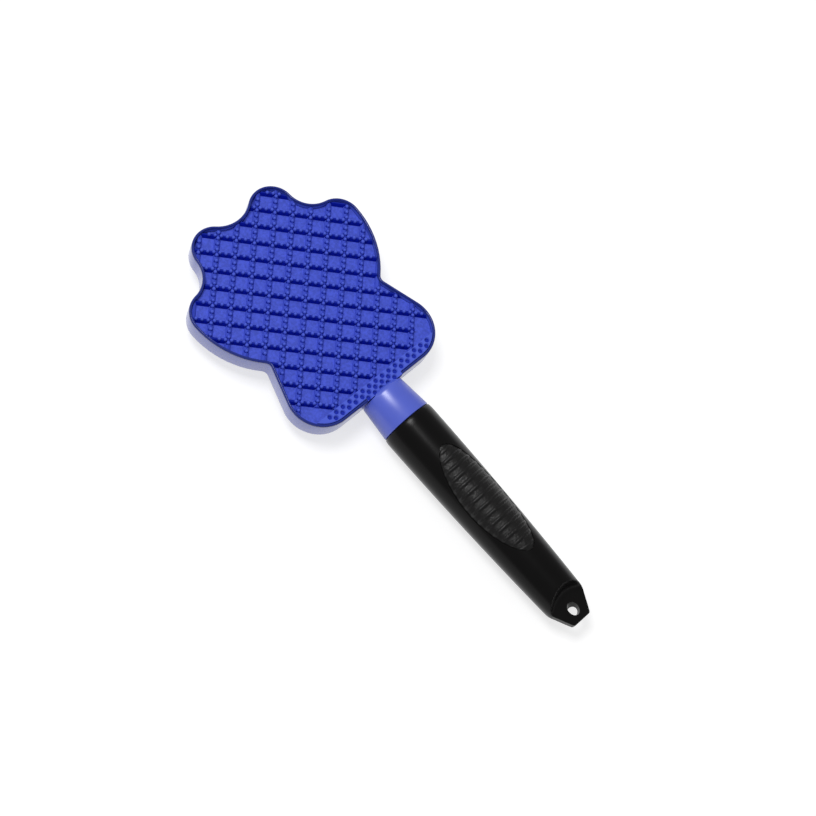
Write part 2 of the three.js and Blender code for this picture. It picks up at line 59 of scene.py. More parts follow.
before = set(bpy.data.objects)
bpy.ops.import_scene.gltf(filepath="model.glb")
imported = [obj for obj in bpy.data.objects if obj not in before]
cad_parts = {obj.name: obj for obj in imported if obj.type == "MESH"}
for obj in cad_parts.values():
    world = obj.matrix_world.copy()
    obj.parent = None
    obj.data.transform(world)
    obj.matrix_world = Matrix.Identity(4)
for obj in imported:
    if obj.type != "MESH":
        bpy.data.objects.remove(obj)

SHARP = 35  # an edge sharper than so many degrees stays sharp
MIDWAY = 0.3  # middle point of a softened edge, as a share of its radius
PAST = 0.001  # how far a cutting tool reaches past what it cuts
ROOT = 0.0004  # how far the walls and the full strip run down into the pad's floor
HAIR = 0.0002  # the finest softened edge, and the least clearance
WALL_END = 0.00005  # how far the walls end inside the pad's edge
POCKET = 3  # steps of the grid, and nubs, along each side of a pocket
SHOULDER_SCREW = (0.003, 0.006)  # inwards and down from the centre of the shoulder's corner
TOE_SCREW = 0.002  # down from the centre of the toe's corner
FINE_GRAIN = 0.00001  # height of the finest grain of a surface
GLOSS_SPREAD = 0.12  # how far the roughness wanders, as a share of it
NODE_STEP = 180  # from one node to the next in the node editor


# ---- sizes and colours


def length(name, millimetres, description):
    """A size, stated in millimetres and kept in metres."""
    return FloatProperty(
        name=name,
        description=description,
        default=millimetres / 1000,
        precision=5,
        unit="LENGTH",
        subtype="DISTANCE",
    )


def colour(name, rgb, description):
    """A linear colour."""
    return FloatVectorProperty(
        name=name, description=description, default=rgb, size=3, min=0, max=1, subtype="COLOR"
    )


def plain(name, value, description):
    """A number without a unit."""
    return FloatProperty(name=name, description=description, default=value, precision=3)


class BrushHeadSizes(PropertyGroup):
    """The head: its outline, its layers and the relief of the pad."""

    heel_edge: length("Heel edge", 1.0, "Height of the straight edge at the neck")
    heel_x: length("Heel lobe X", 32.8, "Centre of the heel's round corner")
    heel_r: length("Heel lobe radius", 22, "Radius of the heel's round corner")
    waist_x: length("Waist X", 50.2, "Centre of the waist's hollow corner")
    waist_rise: length("Waist rise", 31, "Waist above the heel lobe")
    waist_r: length("Waist radius", 4.2, "Radius of the waist's hollow corner")
    shoulder_x: length("Shoulder X", 50.4, "Centre of the shoulder's corner")
    shoulder_rise: length("Shoulder rise", 45.7, "Shoulder above the waist")
    shoulder_r: length("Shoulder radius", 15.4, "Radius of the shoulder's corner")
    toe_x: length("Toe X", 22.8, "Centre of the toe's corner")
    toe_rise: length("Toe rise", 30.7, "Toe above the shoulder")
    toe_r: length("Toe radius", 15, "Radius of the toe's corner")
    side_r: length("Side radius", 60, "Long curve from waist to shoulder")
    notch_r: length("Notch radius", 17.4, "Hollow curve from shoulder to toe")
    valley_r: length("Valley radius", 21, "Hollow curve between the toes")
    row_y: length("Row Y", 17.05, "Y = 0 of the drawing in the row frame")
    top: length("Top", 11, "Nub tops and rim above the grip's axis")
    thickness: length("Thickness", 16.5, "Thickness of the head")
    rim: length("Rim", 1.6, "Width of the frame's rim round the pad")
    gap: length("Gap", 0.3, "Clearance between two pieces")
    back_edge: length("Back edge", 2.4, "Radius of the rounded edge at the back")
    relief: length("Relief", 4.5, "From the nub tops to the floor of the pockets")
    skin: length("Skin", 1.8, "Rubber under the pockets")
    cover_margin: length("Cover margin", 3.2, "Bare frame round the back cover")
    cover_thickness: length("Cover thickness", 2, "Thickness of the back cover")
    foam: length("Foam", 2.4, "Thickness of the foam under the pad")
    nub_pitch: length("Nub pitch", 3.7, "Distance from nub to nub along a wall")
    nub_r: length("Nub radius", 1.42, "Radius of a nub at its foot")
    wall: length("Wall", 3.3, "Foot of a wall that runs up to the left")
    wide_wall: length("Wide wall", 3.9, "Foot of a wall that runs up to the right")
    wall_drop: length("Wall drop", 1.7, "Top of the walls below the nub tops")
    crossing_y: length("Crossing Y", 89.6, "The crossing of two walls on the centre line")
    heel_band: length("Heel band", 8.8, "Full strip beside the heel's edge, with pits")
    pit_x: length("Pit X", 3.6, "Place of one of the pits")
    pit_y: length("Pit Y", 7.9, "Place of one of the pits")
    pit_pitch: length("Pit pitch", 3.8, "From pit to pit, along the walls")
    pit_r: length("Pit radius", 1.15, "Radius of a pit")
    pit_depth: length("Pit depth", 1.7, "Depth of a pit")
    apron: length("Apron", 14.2, "Half width of the pad's part at the neck")
    patch_x: length("Patch X", 47.1, "Upper corner of the heel's smooth patch")
    patch_y: length("Patch Y", 26.8, "Upper corner of the heel's smooth patch")
    screw_r: length("Screw head radius", 2.7, "Radius of a cover screw's head")
    screw_h: length("Screw head height", 1.3, "Height of a cover screw's cone")


class BrushHandleSizes(PropertyGroup):
    """The neck, the grip, its inlay and its tail."""

    neck_length: length("Neck length", 22.7, "Length of the collar that shows")
    neck_head_r: length("Neck radius at the head", 14.7, "Radius of the collar at the head")
    neck_grip_r: length("Neck radius at the grip", 16.8, "Radius of the collar at the grip")
    nose_r: length("Nose radius", 4.2, "Rounding of the collar's front edge above the pad")
    nose_side_r: length("Nose side radius", 0.8, "Rounding of that edge at the sides")
    nose_reach: length("Nose reach", 1.9, "The nose above the pad, past the heel's edge")
    grip_length: length("Grip length", 157.2, "Length of the grip")
    front_r: length("Front radius", 17.4, "Radius of the grip's fattest ring")
    tail_r: length("Tail radius", 13.7, "Radius of the grip at the scoop")
    front_step: length("Front step", 0.4, "The front edge is this much slimmer")
    shoulder: length("Shoulder", 3.5, "From the front edge to the fattest ring")
    tab_length: length("Tab length", 11.6, "Flat tab, from the scoop to the end")
    tab_thickness: length("Tab thickness", 5, "Thickness of the tab")
    tab_end: length("Tab end width", 13, "Width of the tab's end")
    tab_taper: length("Tab taper", 13, "Length of the tab's slanted sides")
    scoop: length("Scoop length", 7, "Length of the scoop's curved wall")
    scoop_bow: length("Scoop bow", 5, "The scoop reaches this much further at its middle")
    hole_width: length("Hole width", 7, "Width of the hang hole")
    hole_top: length("Hole length, top", 8.8, "Its mouth on the pad's side")
    hole_top_y: length("Hole place, top", 8.4, "Its middle from the tab's end")
    hole_back: length("Hole length, back", 6, "Its mouth at the back")
    hole_back_y: length("Hole place, back", 7.1, "Its middle from the tab's end")
    inlay_length: length("Inlay length", 81, "Length of the ribbed inlay")
    inlay_width: length("Inlay width", 27, "Width of the ribbed inlay")
    inlay_y: length("Inlay place", 65.8, "Middle of the inlay from the grip's front")
    inlay_depth: length("Inlay depth", 1.6, "Depth of the recess")
    rib_pitch: length("Rib pitch", 5.74, "Distance from rib to rib")
    rib_height: length("Rib height", 0.75, "Height of a rib")
    rib_width: length("Rib width", 2.6, "Width of a rib")
    ribs: IntProperty(name="Ribs", description="Number of ribs", default=14, min=1)
    screw_y: length("Handle screw place", 22, "Handle screw from the grip's front")
    screw_r: length("Handle screw radius", 3.1, "Radius of the handle screw's head")
    screw_h: length("Handle screw head", 2.2, "Height of the handle screw's cone")
    screw_sink: length("Handle screw sink", 1.2, "Head below the grip's surface")


class BrushLooks(PropertyGroup):
    """Colours and finishes, with painted shade and painted light on the pad's relief and painted shade on
    the frame's rim.
    """

    floor_blue: colour("Pocket floor", (0.072, 0.111, 0.66), "Rubber of the pockets' floor")
    # Painted light: the nub tips are painted lighter than the pocket floor of the same rubber.
    painted_lit_tip_blue: colour("Nub tips", (0.088, 0.134, 0.72), "Rubber at the nubs' tips, painted lighter as lit")
    # Painted shade: the walls' tops are painted darker than the pocket floor of the same rubber.
    painted_shade_wall_blue: colour("Wall tops", (0.022, 0.042, 0.45), "Rubber at the walls' tops, darkened as painted shade")
    # Painted shade, lighter than on the other walls, whose seen sides face away from the light.
    painted_shade_flank_blue: colour("Wide wall tops", (0.034, 0.058, 0.55), "Rubber at the wide walls' tops, with lighter painted shade")
    # Painted shade: the deep blue low on the walls and nubs stands in for their shade.
    painted_shade_blue: colour("Nub feet", (0.0015, 0.009, 0.33), "Painted shade low on the walls and nubs")
    frame_blue: colour("Frame", (0.07, 0.115, 0.62), "Plastic of the frame and the cover")
    # Painted shade: the rim is painted darker than the rest of the frame's plastic.
    painted_shade_rim_blue: colour("Rim", (0.02, 0.034, 0.24), "Plastic at the frame's rim, darkened as painted shade")
    neck_blue: colour("Neck", (0.075, 0.12, 0.68), "Plastic of the neck collar")
    foam_grey: colour("Foam", (0.05, 0.055, 0.07), "Foam under the pad")
    grip_black: colour("Grip", (0.002, 0.0018, 0.0019), "Plastic of the grip")
    inlay_black: colour("Inlay", (0.003, 0.0027, 0.0028), "Rubber of the inlay")
    steel: colour("Screws", (0.55, 0.57, 0.6), "Zinc-plated steel")
    floor_white: colour("Floor", (0.45, 0.45, 0.455), "The floor under the brush")
    floor_glow: plain("Floor glow", 0.68, "How much whiter it shows than it is lit")
    sky: plain("Surround", 0.42, "Strength of the light from all round")
    key: plain("Overhead light", 12.5, "Power of the overhead light in watts")


# ---- the drawing in the row frame


class Drawing:
    """Levels and outlines worked out from the sizes."""

    def __init__(self):
        head, handle = bpy.context.scene.brush_head, bpy.context.scene.brush_handle
        self.head, self.handle = head, handle
        self.heel_y = head.heel_edge + head.heel_r
        self.waist_y = self.heel_y + head.waist_rise
        self.shoulder_y = self.waist_y + head.shoulder_rise
        self.toe_y = self.shoulder_y + head.toe_rise
        self.toe_edge = self.toe_y + head.toe_r
        self.half_width = head.shoulder_x + head.shoulder_r
        self.walls = int(self.toe_edge / head.nub_pitch / POCKET) + 1
        self.bottom = head.top - head.thickness
        self.floor = head.top - head.relief
        self.pad_bottom = self.floor - head.skin
        self.band_top = head.heel_edge + head.heel_band
        self.pad_inset = head.rim + head.gap
        self.neck_front = head.heel_edge - head.gap
        self.nose_tip = self.neck_front + handle.nose_reach
        self.neck_back = self.neck_front - handle.neck_length
        self.grip_front = self.neck_back - head.gap
        self.grip_end = self.grip_front - handle.grip_length
        self.tab_start = self.grip_end + handle.tab_length
        self.offset = Vector((0, head.row_y, handle.front_r))

    def at(self, x, y, z):
        """A point of the drawing in the row frame."""
        return Vector((x, y, z)) + self.offset

    def discs(self):
        """The discs that the outline runs round, anticlockwise. A hollow one has a negative radius."""
        head = self.head
        heel = (head.heel_x, self.heel_y, head.heel_r)
        waist = (head.waist_x, self.waist_y, -head.waist_r)
        corner = (head.shoulder_x, self.shoulder_y, head.shoulder_r)
        tip = (head.toe_x, self.toe_y, head.toe_r)
        side = meeting(waist, head.side_r + head.waist_r, corner, head.side_r - head.shoulder_r)
        notch = meeting(tip, head.notch_r + head.toe_r, corner, head.notch_r + head.shoulder_r)
        rise = math.sqrt((head.valley_r + head.toe_r) ** 2 - head.toe_x**2)
        right = [heel, waist, (*side, head.side_r), corner, (*notch, -head.notch_r), tip]
        left = [(-x, y, r) for x, y, r in reversed(right)]
        return right + [(0, self.toe_y + rise, -head.valley_r)] + left

    def outline(self, margin=0.0, step=4.0):
        """The head's outline, moved inwards by the margin, with a point each so many degrees."""
        discs = [(x, y, r - margin) for x, y, r in self.discs()]
        directions = []
        for (x0, y0, r0), (x1, y1, r1) in zip(discs, discs[1:] + discs[:1]):
            lean = math.asin(max(-1, min(1, (r1 - r0) / math.hypot(x1 - x0, y1 - y0))))
            directions.append(math.atan2(y1 - y0, x1 - x0) - lean)
        points = []
        for i, (x, y, r) in enumerate(discs):
            start = directions[i - 1] - math.pi / 2
            sweep = (directions[i] - math.pi / 2 - start + math.pi) % (2 * math.pi) - math.pi
            steps = max(1, round(abs(math.degrees(sweep)) / step))
            for k in range(steps + 1):
                angle = start + sweep * k / steps
                points.append((x + r * math.cos(angle), y + r * math.sin(angle)))
        return points

    def grip_radius(self, y):
        """The grip swells at its front and thins towards the tail along a parabola."""
        handle = self.handle
        fattest = self.grip_front - handle.shoulder
        if y > fattest:
            return handle.front_r - handle.front_step * ((y - fattest) / handle.shoulder) ** 2
        share = (fattest - y) / (fattest - self.tab_start)
        return handle.front_r - (handle.front_r - handle.tail_r) * share**2

    def screws(self):
        """The places of the cover screws."""
        head, (inwards, down) = self.head, SHOULDER_SCREW
        right = [
            (head.heel_x, self.heel_y),
            (head.shoulder_x - inwards, self.shoulder_y - down),
            (head.toe_x, self.toe_y - TOE_SCREW),
        ]
        return [(side * x, y) for x, y in right for side in (1, -1)]

    def handle_screw(self):
        """The middle of the handle screw's head."""
        y = self.grip_front - self.handle.screw_y
        return self.at(0, y, self.handle.screw_sink - self.grip_radius(y))

    def grid(self, u, v):
        """A place on the grid turned by 45 degrees: u and v count steps along its lines."""
        along = self.head.nub_pitch * math.sqrt(0.5)
        return (u - v) * along, self.head.crossing_y + (u + v) * along

    def on_patch(self, x, y):
        """Whether the place is on one of the smooth patches, which lie below two crossing walls."""
        head = self.head
        return abs(abs(x) - head.patch_x) < head.patch_y - y

    def patches(self):
        """The places of the smooth patches' upper corners."""
        return [(side * self.head.patch_x, self.head.patch_y) for side in (1, -1)]


def meeting(a, from_a, b, from_b):
    """The point at these distances from two centres, on the left of the way from a to b."""
    apart = math.hypot(b[0] - a[0], b[1] - a[1])
    along = (apart**2 + from_a**2 - from_b**2) / (2 * apart)
    aside = math.sqrt(from_a**2 - along**2)
    dx, dy = (b[0] - a[0]) / apart, (b[1] - a[1]) / apart
    return a[0] + dx * along - dy * aside, a[1] + dy * along + dx * aside


def is_inside(points, x, y):
    """Whether a place is inside a closed line."""
    inside = False
    for (ax, ay), (bx, by) in zip(points, points[1:] + points[:1]):
        if (ay > y) != (by > y) and x < (bx - ax) * (y - ay) / (by - ay) + ax:
            inside = not inside
    return inside


# ---- meshes


def smooth(mesh, sharp):
    """Smooth shading, but for edges sharper than so many degrees."""
    mesh.polygons.foreach_set("use_smooth", [True] * len(mesh.polygons))
    mesh.set_sharp_from_angle(angle=math.radians(sharp))


def add_mesh(name, vertices, faces, sharp=SHARP):
    """A new object from vertices and faces."""
    mesh = bpy.data.meshes.new(name)
    mesh.from_pydata([tuple(v) for v in vertices], [], faces)
    mesh.validate()
    smooth(mesh, sharp)
    piece = bpy.data.objects.new(name, mesh)
    bpy.context.scene.collection.objects.link(piece)
    return piece


def add_rings(name, rings, sharp=SHARP, closed=False):
    """A skin over rings of points, with flat caps, or closed on itself."""
    count, last = len(rings[0]), len(rings) - 1
    pairs = [(a, a + 1) for a in range(last)]
    if closed:
        pairs.append((last, 0))
    faces = []
    for a, b in pairs:
        for i in range(count):
            j = (i + 1) % count
            faces.append((a * count + i, a * count + j, b * count + j, b * count + i))
    if not closed:
        faces.append(tuple(range(count))[::-1])
        faces.append(tuple(range(last * count, (last + 1) * count)))
    return add_mesh(name, [point for ring in rings for point in ring], faces, sharp)


def add_upright(name, place, profile, sides):
    """A body turned about an upright line through a point, from (radius, height)."""
    angles = [2 * math.pi * i / sides for i in range(sides)]
    rings = [
        [place + Vector((radius * math.cos(a), radius * math.sin(a), height)) for a in angles]
        for radius, height in profile
    ]
    return add_rings(name, rings)


def add_block(name, low, high):
    """A block between two corners."""
    square = [(low.x, low.y), (high.x, low.y), (high.x, high.y), (low.x, high.y)]
    return add_rings(name, [[Vector((x, y, z)) for x, y in square] for z in (low.z, high.z)])


def add_shell(name, outer, inner):
    """A closed shell between two grids of points of the same size."""
    rows, columns = len(outer), len(outer[0])
    second = rows * columns
    faces = []
    for i in range(rows - 1):
        for k in range(columns - 1):
            a, b = i * columns + k, (i + 1) * columns + k
            faces.append((a, a + 1, b + 1, b))
            faces.append((second + a, second + b, second + b + 1, second + a + 1))
        for k, flip in ((0, False), (columns - 1, True)):
            a, b = i * columns + k, (i + 1) * columns + k
            side = (a, b, second + b, second + a)
            faces.append(side[::-1] if flip else side)
    shell = add_mesh(name, [point for line in outer + inner for point in line], faces, 50)
    weld = shell.modifiers.new("weld", "WELD")
    weld.merge_threshold = 1e-6
    bake(shell)
    return shell


def bake(piece):
    """Applies the modifiers of a piece by taking its evaluated mesh."""
    evaluated = piece.evaluated_get(bpy.context.evaluated_depsgraph_get())
    mesh = bpy.data.meshes.new_from_object(evaluated)
    old = piece.data
    piece.modifiers.clear()
    piece.data = mesh
    bpy.data.meshes.remove(old)
    mesh.name = piece.name


def remove(piece):
    """Deletes a piece and its mesh."""
    mesh = piece.data
    bpy.data.objects.remove(piece)
    bpy.data.meshes.remove(mesh)


def cut(piece, tool, sharp=SHARP, operation="DIFFERENCE"):
    """Takes the tool's body out of the piece, or joins or crosses the two, and removes the tool."""
    modifier = piece.modifiers.new("cut", "BOOLEAN")
    modifier.operation = operation
    modifier.solver = "MANIFOLD"
    modifier.object = tool
    bake(piece)
    remove(tool)
    smooth(piece.data, sharp)


def join_pieces(pieces):
    """One object from several, with their bodies side by side in one mesh."""
    shapes = bmesh.new()
    for piece in pieces:
        shapes.from_mesh(piece.data)
    shapes.to_mesh(pieces[0].data)
    shapes.free()
    for piece in pieces[1:]:
        remove(piece)
    return pieces[0]


def finish_piece(piece, material, slot, *nodes):
    """Gives a finished piece its material and its place in the frame."""
    piece.data.materials.clear()
    piece.data.materials.append(material)
    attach(piece, "root")
    if nodes:
        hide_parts(*nodes)


# ---- materials


def feed(node, inputs):
    """Gives a node's inputs their values, or links them to the sockets that feed them."""
    for label, value in inputs.items():
        if isinstance(value, NodeSocket):
            node.id_data.links.new(value, node.inputs[label])
        else:
            node.inputs[label].default_value = value


def add_node(tree, kind, inputs=None, **settings):
    """A new node to the right of the last one, with some of its settings and inputs."""
    node = tree.nodes.new(kind)
    node.location.x = NODE_STEP * len(tree.nodes)
    for key, value in settings.items():
        setattr(node, key, value)
    feed(node, inputs or {})
    return node


def maths(tree, operation, *values):
    """What a maths node makes of sockets or numbers."""
    node = add_node(tree, "ShaderNodeMath", dict(enumerate(values)), operation=operation)
    return node.outputs[0]


def new_material(name):
    """An empty node material and its shader."""
    material = bpy.data.materials.new(name)
    material.use_nodes = True
    tree = material.node_tree
    tree.nodes.clear()
    shader = add_node(tree, "ShaderNodeBsdfPrincipled")
    add_node(tree, "ShaderNodeOutputMaterial", {"Surface": shader.outputs["BSDF"]})
    return material, tree, shader


def add_place(tree):
    """The piece's own coordinates."""
    return add_node(tree, "ShaderNodeTexCoord").outputs["Object"]


def add_noise(tree, scale, detail=3.0):
    """Noise in the piece's own coordinates."""
    inputs = {"Vector": add_place(tree), "Scale": scale, "Detail": detail}
    return add_node(tree, "ShaderNodeTexNoise", inputs).outputs["Fac"]


def add_ramp(tree, value, stops):
    """A colour that goes through the stops, each a value and a colour."""
    ramp = add_node(tree, "ShaderNodeValToRGB", {"Fac": value})
    for element, (position, rgb) in zip(ramp.color_ramp.elements, (stops[0], stops[-1])):
        element.position, element.color = position, (*rgb, 1)
    for position, rgb in stops[1:-1]:
        ramp.color_ramp.elements.new(position).color = (*rgb, 1)
    return ramp.outputs["Color"]


def mottled(tree, dark, light, scale):
    """A colour that wanders between two colours."""
    return add_ramp(tree, add_noise(tree, scale), [(0.35, dark), (0.65, light)])


def add_bump(tree, shader, scale, depth):
    """A fine grain on the surface: depth is its height in metres."""
    grain = {"Strength": 1.0, "Distance": depth, "Height": add_noise(tree, scale, 2.0)}
    feed(shader, {"Normal": add_node(tree, "ShaderNodeBump", grain).outputs["Normal"]})


def scaled(rgb, factor):
    """A colour made darker or lighter."""
    return tuple(min(1.0, c * factor) for c in rgb)


def moulded(
    name, rgb, roughness, spread=0.06, patch=60.0, grain=900.0, depth=FINE_GRAIN, shine=0.5, more=None
):
    """Moulded plastic or rubber: nearly even colour, slightly uneven gloss and a fine grain."""
    material, tree, shader = new_material(name)
    gloss = {
        "Value": add_noise(tree, patch * 2),
        "To Min": roughness * (1 - GLOSS_SPREAD),
        "To Max": roughness * (1 + GLOSS_SPREAD),
    }
    finish = {
        "Base Color": mottled(tree, scaled(rgb, 1 - spread), scaled(rgb, 1 + spread), patch),
        "Roughness": add_node(tree, "ShaderNodeMapRange", gloss).outputs["Result"],
        "Specular IOR Level": shine,
    }
    feed(shader, {**finish, **(more or {})})
    add_bump(tree, shader, grain, depth)
    return material


def level_ramp(tree, drawing, low, high, stops):
    """A colour that goes through the stops from one height of the drawing to another."""
    split = add_node(tree, "ShaderNodeSeparateXYZ", {"Vector": add_place(tree)})
    span = {
        "Value": split.outputs["Z"],
        "From Min": drawing.at(0, 0, low).z,
        "From Max": drawing.at(0, 0, high).z,
    }
    level = add_node(tree, "ShaderNodeMapRange", span)
    return add_ramp(tree, level.outputs["Result"], stops)


def frame_plastic(drawing, looks):
    """Plastic of the frame: glossy on its side, deeper in colour and duller at its rim, where the deeper
    colour is painted shade.
    """
    material, tree, shader = new_material("Frame plastic, rim painted shade")
    low, high = drawing.head.top - 2 * drawing.head.rim, drawing.head.top
    # The rim's deeper colour is painted shade.
    rim_shade_tones = [(0.1, looks.frame_blue), (0.7, looks.painted_shade_rim_blue)]
    shines = [(0.4, (1.0, 1.0, 1.0)), (0.8, (0.15, 0.15, 0.15))]
    shine = level_ramp(tree, drawing, low, high, shines)
    finish = {
        "Base Color": level_ramp(tree, drawing, low, high, rim_shade_tones),
        "Roughness": 0.25,
        "Specular IOR Level": shine,
        "Coat Weight": maths(tree, "MULTIPLY", shine, 0.5),
        "Coat Roughness": 0.15,
    }
    feed(shader, finish)
    add_bump(tree, shader, 900.0, FINE_GRAIN)
    return material


def relief_rubber_painted_shade(name, drawing, looks, foot_blue, painted_shade_wall_blue):
    """Rubber of the walls and nubs, whose colour goes from painted shade at its foot to painted light at
    its tip.
    """
    material, tree, shader = new_material(name)
    # Painted shade: dark at the foot, rising to a lighter painted tip.
    stops = [(0.52, foot_blue), (0.64, painted_shade_wall_blue), (0.9, looks.painted_lit_tip_blue)]
    tone = level_ramp(tree, drawing, drawing.floor, drawing.head.top, stops)
    feed(shader, {"Base Color": tone, "Roughness": 0.6, "Specular IOR Level": 0.06})
    add_bump(tree, shader, 1200.0, 2 * FINE_GRAIN)
    return material


# ---- repeated shapes


def new_geometry_tree(name, *inputs):
    """A Geometry Nodes tree with a geometry in and out and named number inputs."""
    tree = bpy.data.node_groups.new(name, "GeometryNodeTree")
    sockets = [("Geometry", "Geometry"), *[(i, "Float") for i in inputs], ("Material", "Material")]
    for label, kind in sockets:
        tree.interface.new_socket(label, in_out="INPUT", socket_type="NodeSocket" + kind)
    tree.interface.new_socket("Geometry", in_out="OUTPUT", socket_type="NodeSocketGeometry")
    return tree, add_node(tree, "NodeGroupInput").outputs


def add_position(tree):
    """X, Y and Z of each point of the body."""
    place = add_node(tree, "GeometryNodeInputPosition").outputs["Position"]
    return add_node(tree, "ShaderNodeSeparateXYZ", {"Vector": place}).outputs


def pointed(tree, value):
    """Moves a coordinate on a circle inwards, so that the half circle becomes nearly a triangle."""
    size = maths(tree, "POWER", maths(tree, "ABSOLUTE", value), 1.5)
    return maths(tree, "MULTIPLY", maths(tree, "SIGN", value), size)


def end_with_copies(tree, given, body, place, **inputs):
    """Moves the body's points and puts a copy on every given point, in one painted mesh."""
    moved = add_node(tree, "ShaderNodeCombineXYZ", dict(zip("XYZ", place)))
    shape = {"Geometry": body, "Position": moved.outputs["Vector"]}
    copies = {
        "Points": given["Geometry"],
        "Instance": add_node(tree, "GeometryNodeSetPosition", shape).outputs["Geometry"],
        **inputs,
    }
    geometry = add_node(tree, "GeometryNodeInstanceOnPoints", copies).outputs["Instances"]
    for kind, settings in (
        ("RealizeInstances", {}),
        ("MergeByDistance", {"Distance": 1e-7}),
        ("SetShadeSmooth", {}),
        ("SetMaterial", {"Material": given["Material"]}),
    ):
        node = add_node(tree, "GeometryNode" + kind, {"Geometry": geometry, **settings})
        geometry = node.outputs["Geometry"]
    add_node(tree, "NodeGroupOutput", {"Geometry": geometry})


def nub_tree():
    """A round-topped nub on every point of the mesh."""
    tree, given = new_geometry_tree("Nubs", "Radius", "Height", "Spread")
    height = given["Height"]
    size = {"Vertices": 10, "Side Segments": 6, "Radius": given["Radius"], "Depth": height}
    peg = add_node(tree, "GeometryNodeMeshCylinder", size, fill_type="NGON")
    x, y, z = add_position(tree)
    share = maths(tree, "ADD", maths(tree, "DIVIDE", z, height), 0.5)
    share = maths(tree, "SUBTRACT", 1.0, maths(tree, "POWER", share, 3.5))
    share = maths(tree, "SQRT", maths(tree, "MAXIMUM", share, 0.0))
    place = (
        maths(tree, "MULTIPLY", x, share),
        maths(tree, "MULTIPLY", y, share),
        maths(tree, "ADD", z, maths(tree, "MULTIPLY", height, 0.5)),
    )
    low = maths(tree, "SUBTRACT", 1.0, given["Spread"])
    drawn = {2: low, 3: 1.0, "Seed": 3}
    chance = add_node(tree, "FunctionNodeRandomValue", drawn, data_type="FLOAT")
    end_with_copies(tree, given, peg.outputs["Mesh"], place, Scale=chance.outputs[1])
    return tree


def wall_tree():
    """A long ridge with sloping sides on every point, turned by the point's own angle."""
    tree, given = new_geometry_tree("Walls", "Length", "Width", "Height", "Root")
    size = {"Vertices": 20, "Radius": 1.0, "Depth": given["Length"]}
    bar = add_node(tree, "GeometryNodeMeshCylinder", size, fill_type="NGON")
    laid = {"Geometry": bar.outputs["Mesh"], "Rotation": (0, math.pi / 2, 0)}
    lying = add_node(tree, "GeometryNodeTransform", laid)
    x, y, z = add_position(tree)
    half = maths(tree, "MULTIPLY", given["Width"], 0.5)
    across = maths(tree, "MULTIPLY", pointed(tree, y), half)
    root = maths(tree, "MULTIPLY", given["Root"], -1.0)
    upper = maths(tree, "MULTIPLY", pointed(tree, z), given["Height"])
    upper = maths(tree, "MAXIMUM", upper, root)
    angle = add_node(tree, "GeometryNodeInputNamedAttribute", {"Name": "turn"}, data_type="FLOAT")
    turn = add_node(tree, "ShaderNodeCombineXYZ", {"Z": angle.outputs["Attribute"]}).outputs[0]
    end_with_copies(tree, given, lying.outputs["Geometry"], (x, across, upper), Rotation=turn)
    return tree


def grow(piece, tree, material, **values):
    """Runs the tree on the piece and keeps the result as its plain mesh."""
    modifier = piece.modifiers.new("repeat", "NODES")
    modifier.node_group = tree
    values["Material"] = material
    for item in tree.interface.items_tree:
        if item.item_type == "SOCKET" and item.in_out == "INPUT" and item.name in values:
            modifier[item.identifier] = values[item.name]
    piece.data.update()
    bake(piece)


# ---- the head


def add_layered(name, drawing, profile, closed=False):
    """A body of the head's outline, from (margin, height)."""
    rings = [[drawing.at(x, y, z) for x, y in drawing.outline(m)] for m, z in profile]
    return add_rings(name, rings, closed=closed)


def add_plate(name, drawing, margin, bottom, top, soft=0.0):
    """A plate of the head's outline between two levels, with a softened upper edge."""
    profile = [(margin, bottom), (margin, top - soft)]
    if soft:
        profile += [(margin + soft * MIDWAY, top - soft * MIDWAY), (margin + soft, top)]
    return add_layered(name, drawing, profile)


